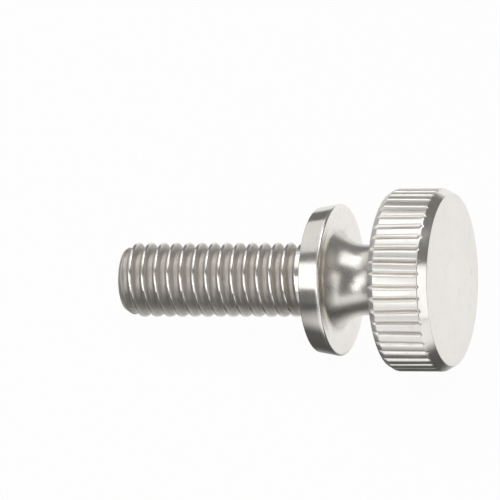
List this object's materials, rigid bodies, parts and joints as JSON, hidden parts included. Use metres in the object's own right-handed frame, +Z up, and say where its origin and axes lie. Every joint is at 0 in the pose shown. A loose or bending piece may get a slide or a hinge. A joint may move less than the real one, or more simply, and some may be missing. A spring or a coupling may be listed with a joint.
{
  "type": "thumb screw",
  "caption": "Knurled thumb screw turned in one piece: threaded shank, flared collar, waisted neck and a flat-faced round head for tightening by hand.",
  "frame": {"origin": "the point of the ground under the middle of the screw, as it lies at rest", "axes": "+Z up, +X along the screw's length towards the head, which lies higher than the tip; the screw's own axis rises 10.9 degrees from +X towards the head"},
  "size_m": [0.0376, 0.019, 0.0196],
  "materials": {
    "polished_steel": "polished"
  },
  "bodies": {
    "root": {"thumb_screw": "polished_steel"}
  },
  "joints": []
}
